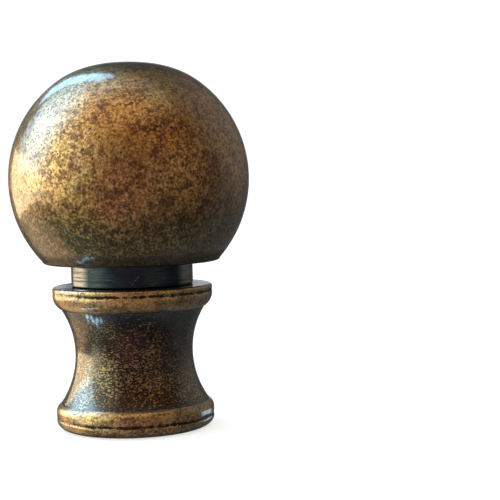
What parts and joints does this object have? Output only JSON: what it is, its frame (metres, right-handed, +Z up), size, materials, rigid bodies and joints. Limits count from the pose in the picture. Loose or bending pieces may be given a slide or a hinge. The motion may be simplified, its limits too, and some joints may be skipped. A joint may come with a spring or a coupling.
{
  "type": "lamp shade finial",
  "caption": "Ball finial on a turned collar and a waisted spool, with a tapped brass insert in its foot to screw onto a lamp harp.",
  "frame": {"origin": "middle of the foot, on the surface that the finial stands on", "axes": "+Z up along the turned axis, from the foot to the ball's crown; +X and +Y across it"},
  "size_m": [0.025, 0.025, 0.038],
  "materials": {
    "antique_brass": "mottled golden-brown antique plating with fine dark pits, semi-gloss",
    "blackened_metal": "blackened, with fine turning lines, glossy",
    "dark_antique_brass": "dark brown antique plating rubbed to golden flecks, with brighter rubbed rims",
    "bare_brass": "bare machined brass, fine facing marks"
  },
  "bodies": {
    "root": {"ball": "antique_brass", "neck_collar": "blackened_metal", "spool_base": "dark_antique_brass", "threaded_insert": "bare_brass"}
  },
  "joints": []
}
